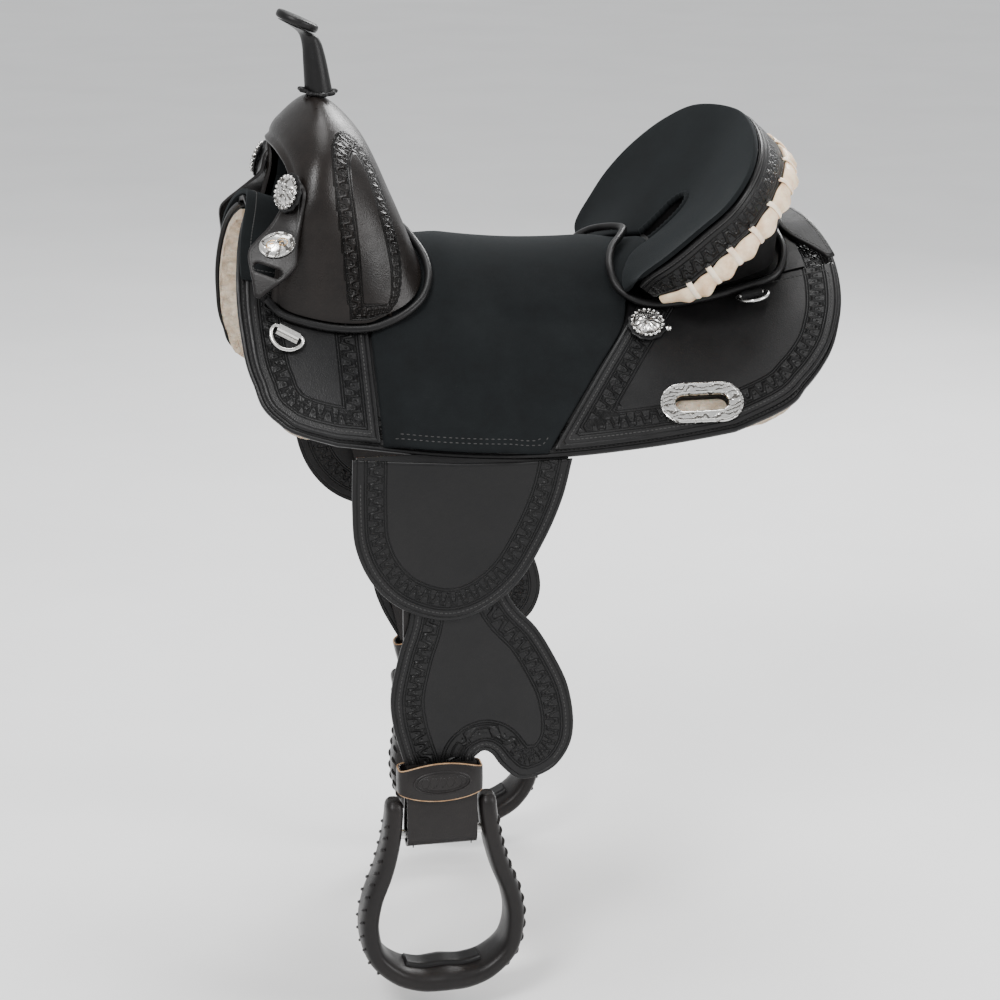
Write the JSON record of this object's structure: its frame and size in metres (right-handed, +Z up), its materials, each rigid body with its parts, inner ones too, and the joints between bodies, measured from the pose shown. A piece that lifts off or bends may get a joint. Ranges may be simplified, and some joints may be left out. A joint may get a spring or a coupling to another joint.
{
  "type": "western saddle",
  "caption": "Western saddle with tooled leather skirts and jockeys, suede seat, laced rawhide cantle binding, horn, swinging fenders, stirrups and ring fittings.",
  "frame": {"origin": "on the underside of the spine channel at mid-seat, where the saddle rests on the horse's back", "axes": "+Z up, -X front (horn end), +X rear (cantle end), -Y near (left) side"},
  "size_m": [0.6197, 0.46, 0.9841],
  "materials": {
    "black_leather": "tooled and smooth, satin",
    "suede": "napped suede",
    "fleece": "sheepskin pile",
    "foam": "closed-cell foam",
    "wood": "plain",
    "board": "stiff unfinished leather",
    "rawhide": "pale laced rawhide",
    "natural_edge": "black strap with a natural cut edge",
    "silver": "engraved bright silver",
    "steel": "plain"
  },
  "bodies": {
    "saddle": {"ground_seat": "board", "seat_foam": "foam", "suede_seat": "suede", "wither_pad": "suede", "rear_bridge_patch": "black_leather", "swell_cover": "black_leather", "fork_core": "wood", "swell_welt": "black_leather", "horn_post": "steel", "horn_neck_wrap": "black_leather", "horn_cap": "black_leather", "cantle_face": "suede", "cantle_band": "black_leather", "rawhide_binding": "rawhide", "cantle_back": "black_leather", "cantle_core": "wood", "cantle_welt": "black_leather", "near_fleece_lining": "fleece", "near_skirt": "black_leather", "near_front_jockey": "black_leather", "near_rear_jockey": "black_leather", "near_flap_hanger": "black_leather", "near_skirt_concho": "silver", "near_slot_plate": "silver", "near_front_dee_clip": "silver", "near_rear_chape": "black_leather", "off_fleece_lining": "fleece", "off_skirt": "black_leather", "off_front_jockey": "black_leather", "off_rear_jockey": "black_leather", "off_flap_hanger": "black_leather", "off_skirt_concho": "silver", "off_slot_plate": "silver", "off_front_dee_clip": "silver", "off_rear_chape": "black_leather"},
    "near_flap": {"near_leg_flap": "black_leather"},
    "near_fender_hang": {"near_fender": "black_leather", "near_stirrup_leather": "black_leather", "near_hobble_strap": "natural_edge", "near_stirrup_bolt": "steel"},
    "near_stirrup_swing_part": {"near_stirrup": "black_leather", "near_stirrup_tread": "black_leather"},
    "near_keeper": {"near_latigo_keeper": "black_leather", "near_keeper_concho": "silver", "near_swell_concho": "silver"},
    "near_front_ring": {"near_front_dee": "silver"},
    "near_rear_ring": {"near_rear_dee": "silver"},
    "off_flap": {"off_leg_flap": "black_leather"},
    "off_fender_hang": {"off_fender": "black_leather", "off_stirrup_leather": "black_leather", "off_hobble_strap": "natural_edge", "off_stirrup_bolt": "steel"},
    "off_stirrup_swing_part": {"off_stirrup": "black_leather", "off_stirrup_tread": "black_leather"},
    "off_keeper": {"off_latigo_keeper": "black_leather", "off_keeper_concho": "silver", "off_swell_concho": "silver"},
    "off_front_ring": {"off_front_dee": "silver"},
    "off_rear_ring": {"off_rear_dee": "silver"}
  },
  "joints": [
    {"name": "near_flap_lift", "type": "hinge", "parent": "saddle", "child": "near_flap", "pos_m": [-0.08, -0.204, -0.147], "axis": [-1, 0, 0], "range_deg": [0, 80]},
    {"name": "near_fender_swing", "type": "hinge", "parent": "saddle", "child": "near_fender_hang", "pos_m": [-0.085, -0.1985, -0.182], "axis": [0, 1, 0], "range_deg": [-22, 22]},
    {"name": "near_stirrup_swing", "type": "hinge", "parent": "near_fender_hang", "child": "near_stirrup_swing_part", "pos_m": [-0.104, -0.197, -0.539], "axis": [1, 0, 0], "range_deg": [-40, 40]},
    {"name": "near_keeper_swivel", "type": "hinge", "parent": "saddle", "child": "near_keeper", "pos_m": [-0.22433, -0.09933, 0.1047], "axis": [-0.8678, -0.4635, 0.179], "range_deg": [-16, 16]},
    {"name": "near_front_dee_swing", "type": "hinge", "parent": "saddle", "child": "near_front_ring", "pos_m": [-0.2384, -0.12357, -0.02686], "axis": [-0.8501, 0.2904, 0.4392], "range_deg": [0, 110]},
    {"name": "near_rear_dee_swing", "type": "hinge", "parent": "saddle", "child": "near_rear_ring", "pos_m": [0.237, -0.11657, -0.01171], "axis": [-0.9847, 0.0127, -0.1737], "range_deg": [-32, 75]},
    {"name": "off_flap_lift", "type": "hinge", "parent": "saddle", "child": "off_flap", "pos_m": [-0.08, 0.204, -0.147], "axis": [1, 0, 0], "range_deg": [0, 80]},
    {"name": "off_fender_swing", "type": "hinge", "parent": "saddle", "child": "off_fender_hang", "pos_m": [-0.085, 0.1985, -0.182], "axis": [0, 1, 0], "range_deg": [-9, 35]},
    {"name": "off_stirrup_swing", "type": "hinge", "parent": "off_fender_hang", "child": "off_stirrup_swing_part", "pos_m": [-0.02321, 0.197, -0.53412], "axis": [0.9744, 0, 0.225], "range_deg": [-40, 40]},
    {"name": "off_keeper_swivel", "type": "hinge", "parent": "saddle", "child": "off_keeper", "pos_m": [-0.22433, 0.09933, 0.1047], "axis": [-0.8678, 0.4635, 0.179], "range_deg": [-16, 16]},
    {"name": "off_front_dee_swing", "type": "hinge", "parent": "saddle", "child": "off_front_ring", "pos_m": [-0.2384, 0.12357, -0.02686], "axis": [0.8501, 0.2904, -0.4392], "range_deg": [0, 110]},
    {"name": "off_rear_dee_swing", "type": "hinge", "parent": "saddle", "child": "off_rear_ring", "pos_m": [0.237, 0.11657, -0.01171], "axis": [0.9847, 0.0127, 0.1737], "range_deg": [-32, 75]}
  ]
}
